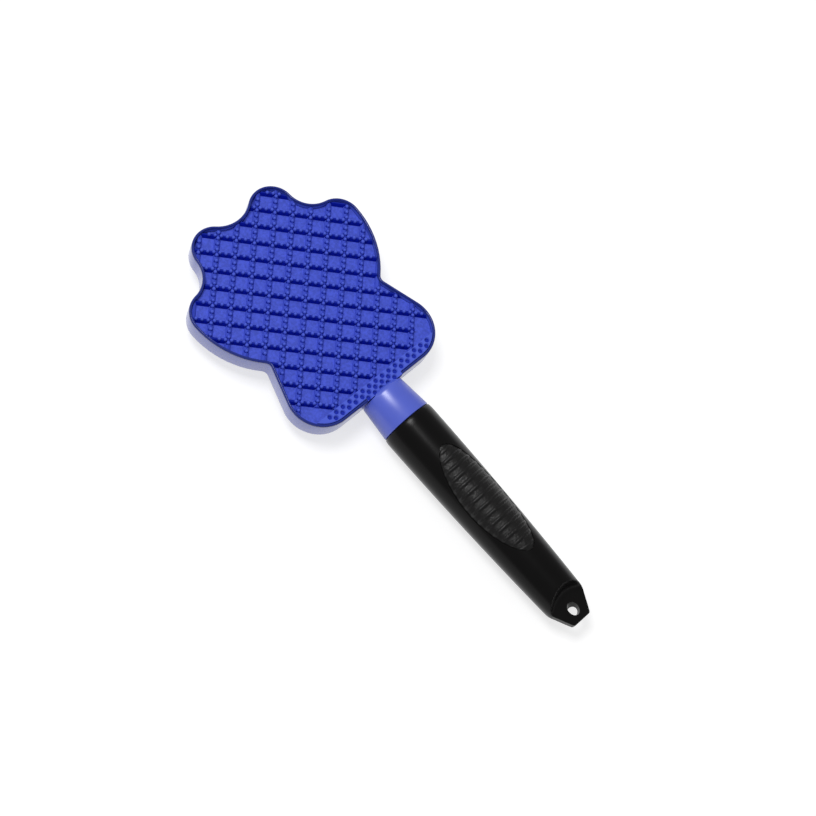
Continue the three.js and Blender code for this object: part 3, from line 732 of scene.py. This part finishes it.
class BRUSH_OT_pad(Operator):
    """Build the rubber pad: floor, walls, nubs and the full strip at the heel"""

    bl_idname = "brush.pad"
    bl_label = "Pad"

    def execute(self, context):
        drawing, looks = Drawing(), context.scene.brush_looks
        head = drawing.head
        finish = {"spread": 0.16, "patch": 600.0, "grain": 1500.0, "depth": 3 * FINE_GRAIN}
        rubber = moulded("Pad floor rubber", looks.floor_blue, 0.5, shine=0.15, **finish)
        # Lit and shaded copies of one rubber: the nubs, the strip and the walls that run up to the left
        # take deep painted shade, and the wide walls a lighter painted shade.
        kinds = (
            ("Pad relief rubber, deep painted shade", looks.painted_shade_blue, looks.painted_shade_wall_blue),
            ("Pad flank rubber, light painted shade", looks.floor_blue, looks.painted_shade_flank_blue),
        )
        relief, flank = [relief_rubber_painted_shade(name, drawing, looks, *blues) for name, *blues in kinds]
        floor = add_plate("pad_floor", drawing, drawing.pad_inset, drawing.pad_bottom, drawing.floor)
        finish_piece(floor, rubber, "pad_rubber", "scrub_pad")
        self.add_nubs(drawing, relief)
        self.add_walls(drawing, "pad_walls_left", relief, 135, head.wall)
        self.add_walls(drawing, "pad_walls_right", flank, 45, head.wide_wall)
        self.add_band(drawing, relief)
        return {"FINISHED"}

    def add_nubs(self, drawing, material):
        """The nubs on each side of a pocket, the first half a step past the crossing."""
        head, walls = drawing.head, drawing.walls
        limit = drawing.outline(drawing.pad_inset + head.nub_r)
        points = []
        for wall in range(-walls, walls + 1):
            for step in range(-POCKET * walls, POCKET * walls):
                for u, v in ((POCKET * wall, step + 0.5), (step + 0.5, POCKET * wall)):
                    x, y = drawing.grid(u, v)
                    free = is_inside(limit, x, y) and not drawing.on_patch(x, y)
                    if free and y > drawing.band_top + head.nub_r:
                        points.append(drawing.at(x, y, drawing.floor))
        nubs = add_mesh("pad_nubs", points, [])
        grow(nubs, nub_tree(), material, Radius=head.nub_r, Height=head.relief, Spread=0.06)
        finish_piece(nubs, material, "pad_rubber")

    def add_walls(self, drawing, name, material, turn, width):
        """The walls of one direction: long ridges that are cut off at the pad's edge."""
        lines = [POCKET * wall for wall in range(-drawing.walls, drawing.walls + 1)]
        places = [drawing.grid(line, 0) if turn > 90 else drawing.grid(0, line) for line in lines]
        ridges = add_mesh(name, [drawing.at(x, y, drawing.floor) for x, y in places], [])
        turns = [math.radians(turn)] * len(places)
        ridges.data.attributes.new("turn", "FLOAT", "POINT").data.foreach_set("value", turns)
        height = drawing.head.relief - drawing.head.wall_drop
        reach = 2 * drawing.toe_edge
        grow(ridges, wall_tree(), material, Length=reach, Width=width, Height=height, Root=ROOT)
        cut(ridges, self.add_field(drawing), operation="INTERSECT")
        finish_piece(ridges, material, "pad_rubber")

    def add_field(self, drawing):
        """The space that the walls may fill: the pad without its full strip and smooth patches."""
        head, half, side = drawing.head, drawing.half_width, drawing.head.heel_r
        below, above = drawing.floor - PAST, head.top + PAST
        field = add_plate("field", drawing, drawing.pad_inset + WALL_END, below, above)
        low = drawing.at(-half, 0, below - PAST)
        high = drawing.at(half, drawing.band_top, above + PAST)
        cut(field, add_block("strip", low, high))
        for x, y in drawing.patches():
            place = drawing.at(x, y - head.wall * math.sqrt(0.5) - side, 0)
            profile = [(side, below - PAST), (side, above + PAST)]
            cut(field, add_upright("patch", place, profile, 4))
        return field

    def add_band(self, drawing, material):
        """The full strip beside the heel's edge, with round pits, that runs on to the neck."""
        head, half, edge = drawing.head, drawing.half_width, drawing.head.heel_edge
        low, soft, into_band = drawing.floor - ROOT, 0.0006, 0.002
        band = add_plate("pad_band", drawing, drawing.pad_inset, low, head.top, soft)
        far = drawing.at(half, drawing.toe_edge, head.top + PAST)
        cut(band, add_block("strip", drawing.at(-half, drawing.band_top, low - PAST), far))
        near = drawing.at(-head.apron, edge + HAIR, low)
        far = drawing.at(head.apron, drawing.pad_inset + edge + into_band, head.top)
        cut(band, add_block("apron", near, far), operation="UNION")
        mouth = head.pit_pitch * 0.47
        side = ((0.9, head.pit_depth), (1, 0.0015), (1.12, 0.0008), (1.3, 0.00036), (1.55, 0.00012))
        pit = [(head.pit_r * share, -depth) for share, depth in side] + [(mouth, 0), (mouth, PAST)]
        places = [drawing.at(x, y, head.top) for x, y in self.pit_places(drawing)]
        cut(band, join_pieces([add_upright("pit", place, pit, 20) for place in places]), 60)
        # The strip takes the relief rubber's painted shade, darker towards the pits' bottoms.
        finish_piece(band, material, "pad_rubber")

    def pit_places(self, drawing):
        """The places of the pits, on a square grid turned by 45 degrees."""
        head = drawing.head
        limit = drawing.outline(drawing.pad_inset + head.pit_r)
        along = head.pit_pitch * math.sqrt(0.5)
        reach = int(drawing.toe_edge / head.pit_pitch)
        places = []
        for row in range(4):
            for column in range(-reach, reach):
                x = head.pit_x + (2 * column + row % 2) * along
                y = head.pit_y - row * along
                inside = is_inside(limit, x, y) or abs(x) < head.apron - head.pit_r
                if inside and y > head.heel_edge + head.pit_r:
                    places.append((x, y))
        return places


class BRUSH_OT_foam(Operator):
    """Build the foam between the pad and the frame"""

    bl_idname = "brush.foam"
    bl_label = "Foam"

    def execute(self, context):
        drawing, looks = Drawing(), context.scene.brush_looks
        top = drawing.pad_bottom - drawing.head.gap
        bottom = top - drawing.head.foam
        foam = add_plate("foam_layer", drawing, drawing.pad_inset, bottom, top, 0.0003)
        finish = {"spread": 0.35, "patch": 900.0, "grain": 1400.0, "depth": 20 * FINE_GRAIN}
        sponge = moulded("Foam rubber", looks.foam_grey, 0.9, shine=0.1, **finish)
        finish_piece(foam, sponge, "foam", "foam_cushion")
        return {"FINISHED"}


class BRUSH_OT_frame(Operator):
    """Build the frame round the pad"""

    bl_idname = "brush.frame"
    bl_label = "Frame"

    def execute(self, context):
        drawing, looks = Drawing(), context.scene.brush_looks
        head, gap = drawing.head, drawing.head.gap
        bottom, top, back = drawing.bottom, head.top, head.back_edge
        lip, fall = head.rim * 0.3, head.rim * 0.6
        slope = lip * 0.29
        quarter = [math.radians(degrees) for degrees in range(0, 91, 15)]
        profile = [
            (head.cover_margin, bottom + head.cover_thickness + gap),
            (head.cover_margin, bottom + HAIR),
            (head.cover_margin - HAIR, bottom),
            *[(back * (1 - math.sin(a)), bottom + back * (1 - math.cos(a))) for a in quarter],
            *[(fall * (1 - math.cos(a)), top - fall * 1.5 * (1 - math.sin(a))) for a in quarter],
            (head.rim - lip, top),
            (head.rim - slope, top - slope),
            (head.rim, top - lip),
            (head.rim, drawing.pad_bottom - head.foam - 2 * gap),
        ]
        body = add_layered("frame_shell", drawing, profile, closed=True)
        low = drawing.at(-head.apron - gap, 0, drawing.floor - 2 * ROOT)
        high = drawing.at(head.apron + gap, head.heel_edge + head.rim + PAST, top + PAST)
        cut(body, add_block("apron", low, high))
        finish_piece(body, frame_plastic(drawing, looks), "frame_plastic", "head_frame")
        return {"FINISHED"}


class BRUSH_OT_back(Operator):
    """Build the back cover and the screws"""

    bl_idname = "brush.back"
    bl_label = "Back"

    def execute(self, context):
        drawing, looks = Drawing(), context.scene.brush_looks
        head, handle = drawing.head, drawing.handle
        margin, bottom, soft = head.cover_margin + head.gap, drawing.bottom, 0.0004
        profile = [
            (margin, bottom + head.cover_thickness),
            (margin, bottom + soft),
            (margin + soft * MIDWAY, bottom + soft * MIDWAY),
            (margin + soft, bottom),
        ]
        cover = add_layered("back_plate", drawing, profile)
        wide, shank = head.screw_r + head.gap, head.screw_r / 2
        cone = [(wide, -PAST), (wide, 0), (shank, head.screw_h + HAIR), (shank, 2 * head.cover_thickness)]
        places = [drawing.at(x, y, bottom) for x, y in drawing.screws()]
        for place in places:
            cut(cover, add_upright("cone", place, cone, 32))
        plastic = moulded("Cover plastic", looks.frame_blue, 0.42, grain=1500.0, depth=2 * FINE_GRAIN)
        finish_piece(cover, plastic, "cover_plastic", "back_cover")

        finish = {"spread": 0.05, "patch": 300.0, "more": {"Metallic": 1.0}}
        steel = moulded("Zinc-plated steel", looks.steel, 0.32, **finish)
        for i, place in enumerate(places, 1):
            self.add_screw("cover_screw", f"_{i}", place, head.screw_r, head.screw_h, 0.006, steel)
        place = drawing.handle_screw()
        self.add_screw("handle_screw", "", place, handle.screw_r, handle.screw_h, 0.012, steel)
        return {"FINISHED"}

    def add_screw(self, kind, number, place, radius, cone, long, steel):
        """A countersunk screw that points up, with a cross recess in its head."""
        shank, arm, half, deep = radius / 2, radius * 0.62, radius * 0.1, radius * 0.35
        profile = [(radius - HAIR, 0), (radius, HAIR), (shank, cone), (shank, long)]
        screw = add_upright(f"{kind}_top{number}", place, profile, 40)
        for degrees in (20, 110):
            slot = add_block("slot", Vector((-arm, -half, -PAST)), Vector((arm, half, deep)))
            turn = Matrix.Rotation(math.radians(degrees), 4, "Z")
            slot.data.transform(Matrix.Translation(place) @ turn)
            cut(screw, slot)
        finish_piece(screw, steel, "screw_steel", kind + number)


# ---- the handle


def collar_rings(drawing, sides=144, soft=0.0007, level=0.6, blend=0.3):
    """Rings of the collar, whose front edge grows rounder above a share of its height."""
    handle, wide, back = drawing.handle, drawing.handle.neck_grip_r, drawing.neck_back
    edge = [(wide - soft, back), (wide - soft * MIDWAY, back + soft * MIDWAY), (wide, back + soft)]
    turns = [math.radians(degrees) for degrees in range(0, 91, 6)]
    lines = []
    for i in range(sides):
        angle = -2 * math.pi * i / sides
        share = min(1, max(0, (math.cos(angle) - level) / blend))
        share = share * share * (3 - 2 * share)
        nose = handle.nose_side_r + (handle.nose_r - handle.nose_side_r) * share
        line = edge + [
            (handle.neck_head_r - nose * (1 - math.cos(t)), drawing.nose_tip - nose * (1 - math.sin(t)))
            for t in turns
        ]
        lines.append([drawing.at(r * math.sin(angle), y, r * math.cos(angle)) for r, y in line])
    return list(zip(*lines))


class BRUSH_OT_neck(Operator):
    """Build the neck collar"""

    bl_idname = "brush.neck"
    bl_label = "Neck"

    def execute(self, context):
        drawing, looks = Drawing(), context.scene.brush_looks
        head, wide = drawing.head, drawing.handle.neck_grip_r
        collar = add_rings("neck_shell", collar_rings(drawing))
        low = drawing.at(-wide, drawing.neck_front, -wide)
        high = drawing.at(wide, drawing.nose_tip + PAST, head.top + head.gap)
        cut(collar, add_block("heel", low, high))
        plastic = moulded("Neck plastic", looks.neck_blue, 0.33, spread=0.04, shine=1.0)
        finish_piece(collar, plastic, "collar_plastic", "neck_collar")
        return {"FINISHED"}


def even_steps(low, high, count):
    """Places in even steps from one value to another, without the first."""
    return [low + (high - low) * i / count for i in range(1, count + 1)]


def grip_rings(drawing, sides=224, edge=0.0008, lip=0.0005, power=24):
    """Rings of the grip: its round section, trimmed by the tab's flats and slanted sides."""
    handle = drawing.handle
    end, start, front = drawing.grip_end, drawing.tab_start, drawing.grip_front
    first = start + handle.scoop
    stations = [end + edge * (1 - math.cos(math.radians(a))) for a in range(0, 91, 15)]
    stations += even_steps(end + edge, start, 34)
    stations += [start + handle.scoop * math.sin(a) for a in even_steps(0, math.pi / 2, 36)]
    stations += even_steps(first, front - lip, 60)
    stations += [front - lip + lip * math.sin(a) for a in even_steps(0, math.pi / 2, 3)]
    slope = (drawing.grip_radius(end + handle.tab_taper) - handle.tab_end / 2) / handle.tab_taper
    rings = []
    for y in stations:
        round_off = front_off = 0.0
        if y < end + edge:
            round_off = edge - math.sqrt(edge**2 - (end + edge - y) ** 2)
        if y > front - lip:
            front_off = lip - math.sqrt(max(0.0, lip**2 - (y - front + lip) ** 2))
        half_height = handle.tab_thickness / 2
        if y > start:
            lean = max(0.0, 1 - ((y - start) / handle.scoop) ** 2)
            half_height += (handle.front_r - half_height) * (1 - math.sqrt(lean))
        ring = []
        for i in range(sides):
            across, up = math.sin(-2 * math.pi * i / sides), math.cos(2 * math.pi * i / sides)
            bowed = y + scoop_shift(drawing, handle.tail_r * across, y)
            half_width = handle.tab_end / 2 + (bowed - end) * slope
            total = (drawing.grip_radius(bowed) - front_off) ** -power
            total += (abs(across) / (half_width - round_off)) ** power
            if y < first:
                total += (abs(up) / (half_height - round_off)) ** power
            reach = total ** (-1 / power)
            bowed = y + scoop_shift(drawing, reach * across, y)
            ring.append(drawing.at(reach * across, bowed, reach * up))
        rings.append(ring)
    return rings


def scoop_shift(drawing, x, y):
    """How far a place on the grip moves towards the head, so that the scoop's edge is an arch."""
    handle = drawing.handle
    start, first = drawing.tab_start, drawing.tab_start + handle.scoop
    fade = 1 - max(0.0, y - first) / (4 * handle.scoop)
    if y < start:
        fade = ((y - drawing.grip_end) / (start - drawing.grip_end)) ** 3
    return handle.scoop_bow * max(0.0, 1 - (x / handle.tail_r) ** 2) * max(0.0, fade)


def inlay_surface(drawing, rows, columns, lift, margin=0.0, ribbed=False, fade=26, sink=0.0004):
    """Points over the inlay's oval, on the grip's own curve moved out by the lift."""
    handle = drawing.handle
    middle = drawing.grip_front - handle.inlay_y
    long, wide = handle.inlay_length / 2 - margin, handle.inlay_width / 2 - margin
    lines = []
    for i in range(rows + 1):
        turn = math.pi * i / rows
        y = middle - long * math.cos(turn)
        half = wide * math.sin(turn)
        line = []
        for k in range(columns + 1):
            x = half * math.sin(math.pi / 2 * (2 * k / columns - 1))
            radius = drawing.grip_radius(y) + lift
            if ribbed:
                inside = max(0.0, 1 - math.hypot((y - middle) / long, x / wide))
                soft = 1 - math.exp(-inside * fade)
                radius += rib_height(handle, y - middle) * soft - (1 - soft) * sink
            line.append(drawing.at(x, y, math.sqrt(max(1e-9, radius**2 - x**2))))
        lines.append(line)
    return lines


def rib_height(handle, along):
    """Height of the ribs at a distance from the inlay's middle: a rounded bump at each pitch."""
    shifted = along / handle.rib_pitch + (handle.ribs - 1) / 2
    number = round(shifted)
    from_rib = abs(shifted - number) * handle.rib_pitch
    if not 0 <= number < handle.ribs or from_rib > handle.rib_width / 2:
        return 0.0
    return handle.rib_height * math.cos(math.pi * from_rib / handle.rib_width) ** 0.8


class BRUSH_OT_grip(Operator):
    """Build the grip with its scooped tail, hang hole and recess"""

    bl_idname = "brush.grip"
    bl_label = "Grip"

    def execute(self, context):
        drawing, looks = Drawing(), context.scene.brush_looks
        handle = drawing.handle
        sharp = 40
        grip = add_rings("grip_shell", grip_rings(drawing), sharp)
        cut(grip, self.add_hole(drawing), sharp)
        above, outside, inside, point = 0.004, 0.005, 0.006, 0.0005
        floor = inlay_surface(drawing, 60, 24, -handle.inlay_depth)
        cut(grip, add_shell("recess", inlay_surface(drawing, 60, 24, above), floor), sharp)
        wide, shank = handle.screw_r + drawing.head.gap, handle.screw_r / 2
        well = [(wide, -outside), (wide, 0.0), (shank, handle.screw_h), (point, inside)]
        cut(grip, add_upright("well", drawing.handle_screw(), well, 40), sharp)
        sheen = {"Sheen Weight": 0.12, "Sheen Roughness": 0.3}
        finish = {"spread": 0.15, "patch": 40.0, "grain": 700.0, "more": sheen}
        plastic = moulded("Grip plastic", looks.grip_black, 0.26, shine=0.16, **finish)
        finish_piece(grip, plastic, "grip_plastic", "grip")
        return {"FINISHED"}

    def add_hole(self, drawing, sides=48):
        """The hang hole's body, whose rings lie at shares of the way from its back mouth to its top."""
        handle = drawing.handle
        rings = []
        for share in (-0.6, 0.0, 1.0, 1.6):
            middle = handle.hole_back_y + (handle.hole_top_y - handle.hole_back_y) * share
            half = (handle.hole_back + (handle.hole_top - handle.hole_back) * share) / 2
            middle += drawing.grip_end
            z = handle.tab_thickness / 2 * (2 * share - 1)
            angles = [2 * math.pi * i / sides for i in range(sides)]
            wide = handle.hole_width / 2
            ring = [drawing.at(wide * math.cos(a), middle + half * math.sin(a), z) for a in angles]
            rings.append(ring)
        return add_rings("hole", rings)


class BRUSH_OT_inlay(Operator):
    """Build the ribbed inlay"""

    bl_idname = "brush.inlay"
    bl_label = "Inlay"

    def execute(self, context):
        drawing, looks = Drawing(), context.scene.brush_looks
        gap = drawing.head.gap
        top = inlay_surface(drawing, 420, 40, -0.0001, gap / 3, True)
        under = inlay_surface(drawing, 420, 40, gap - drawing.handle.inlay_depth, gap / 3)
        finish = {"spread": 0.3, "patch": 500.0, "grain": 1100.0, "depth": 30 * FINE_GRAIN}
        rubber = moulded("Inlay rubber", looks.inlay_black, 0.3, shine=0.35, **finish)
        finish_piece(add_shell("inlay_panel", top, under), rubber, "inlay_rubber", "grip_inlay")
        return {"FINISHED"}


# ---- the stage


class BRUSH_OT_stage(Operator):
    """Build the floor, the lights and the camera"""

    bl_idname = "brush.stage"
    bl_label = "Stage"

    def execute(self, context):
        looks = context.scene.brush_looks
        self.add_floor(looks)
        self.add_lights(context, looks)
        self.add_camera(context)
        context.scene.view_settings.view_transform = "Standard"
        return {"FINISHED"}

    def add_floor(self, looks, size=20.0, level=-0.0002):
        """A pale floor that the camera sees nearly white, with the brush's shadow on it."""
        corners = [(-size, -size, level), (size, -size, level), (size, size, level), (-size, size, level)]
        floor = add_mesh("stage_floor", corners, [(0, 1, 2, 3)])
        material, tree, shader = new_material("Floor")
        path = add_node(tree, "ShaderNodeLightPath").outputs
        seen = path["Is Camera Ray"]
        for kind in ("Is Glossy Ray", "Is Transmission Ray"):
            seen = maths(tree, "MAXIMUM", seen, path[kind])
        finish = {
            "Base Color": mottled(tree, scaled(looks.floor_white, 0.99), looks.floor_white, 3.0),
            "Roughness": 0.9,
            "Emission Color": (1, 1, 1, 1),
            "Emission Strength": maths(tree, "MULTIPLY", seen, looks.floor_glow),
        }
        feed(shader, finish)
        floor.data.materials.append(material)
        floor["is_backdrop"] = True

    def add_lights(self, context, looks):
        """A white surround and a long soft light overhead."""
        world = bpy.data.worlds.new("Surround")
        world.use_nodes = True
        feed(world.node_tree.nodes["Background"], {"Color": (1, 1, 1, 1), "Strength": looks.sky})
        context.scene.world = world
        data = bpy.data.lights.new("Overhead", "AREA")
        data.shape = "RECTANGLE"
        data.size, data.size_y = 0.5, 0.5
        data.energy = looks.key
        light = bpy.data.objects.new("stage_overhead", data)
        light.location = (-0.26, 0.52, 1.5)
        light.rotation_euler = light.location.to_track_quat("Z", "Y").to_euler()
        context.scene.collection.objects.link(light)
        light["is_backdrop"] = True

    def add_camera(self, context):
        """The camera at the photograph's place."""
        data = bpy.data.cameras.new("Camera")
        data.sensor_width = 36.0
        data.lens = 83.82
        data.clip_start = 0.05
        camera = bpy.data.objects.new("Camera", data)
        place = Matrix.Translation((-0.445659, -0.110913, 1.065185))
        right = Vector((0.713861, -0.658688, 0.237764))
        up = Vector((0.578586, 0.746039, 0.329643))
        turn = Matrix((right, up, right.cross(up))).transposed().to_4x4()
        camera.matrix_world = place @ turn
        context.scene.collection.objects.link(camera)
        context.scene.camera = camera


# ---- panel and registration


class BRUSH_PT_panel(Panel):
    """The sidebar panel"""

    bl_label = "Wheel Brush"
    bl_idname = "BRUSH_PT_panel"
    bl_space_type = "VIEW_3D"
    bl_region_type = "UI"
    bl_category = "Wheel Brush"

    def draw(self, context):
        column = self.layout.column(align=True)
        for operator in OPERATORS:
            column.operator(operator.bl_idname)
        for group in ("brush_head", "brush_handle", "brush_looks"):
            box = self.layout.box()
            settings = getattr(context.scene, group)
            for key in settings.__annotations__:
                box.prop(settings, key)


OPERATORS = (
    BRUSH_OT_pad,
    BRUSH_OT_foam,
    BRUSH_OT_frame,
    BRUSH_OT_back,
    BRUSH_OT_neck,
    BRUSH_OT_grip,
    BRUSH_OT_inlay,
    BRUSH_OT_stage,
)
GROUPS = {
    "brush_head": BrushHeadSizes,
    "brush_handle": BrushHandleSizes,
    "brush_looks": BrushLooks,
}


def register():
    for group in GROUPS.values():
        bpy.utils.register_class(group)
    for name, group in GROUPS.items():
        setattr(bpy.types.Scene, name, PointerProperty(type=group))
    for operator in OPERATORS:
        bpy.utils.register_class(operator)
    bpy.utils.register_class(BRUSH_PT_panel)


def unregister():
    bpy.utils.unregister_class(BRUSH_PT_panel)
    for operator in reversed(OPERATORS):
        bpy.utils.unregister_class(operator)
    for name, group in GROUPS.items():
        delattr(bpy.types.Scene, name)
        bpy.utils.unregister_class(group)


def corners():
    """The lowest and highest corner of what shows, as plain lists."""
    return [[round(value, 6) for value in corner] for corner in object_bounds()]


def main():
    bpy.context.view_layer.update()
    register()
    bpy.ops.brush.pad()
    bpy.ops.brush.foam()
    bpy.ops.brush.frame()
    bpy.ops.brush.back()
    bpy.ops.brush.neck()
    bpy.ops.brush.grip()
    bpy.ops.brush.inlay()
    bpy.ops.brush.stage()
    bpy.context.view_layer.update()


if __name__ == "__main__":
    main()
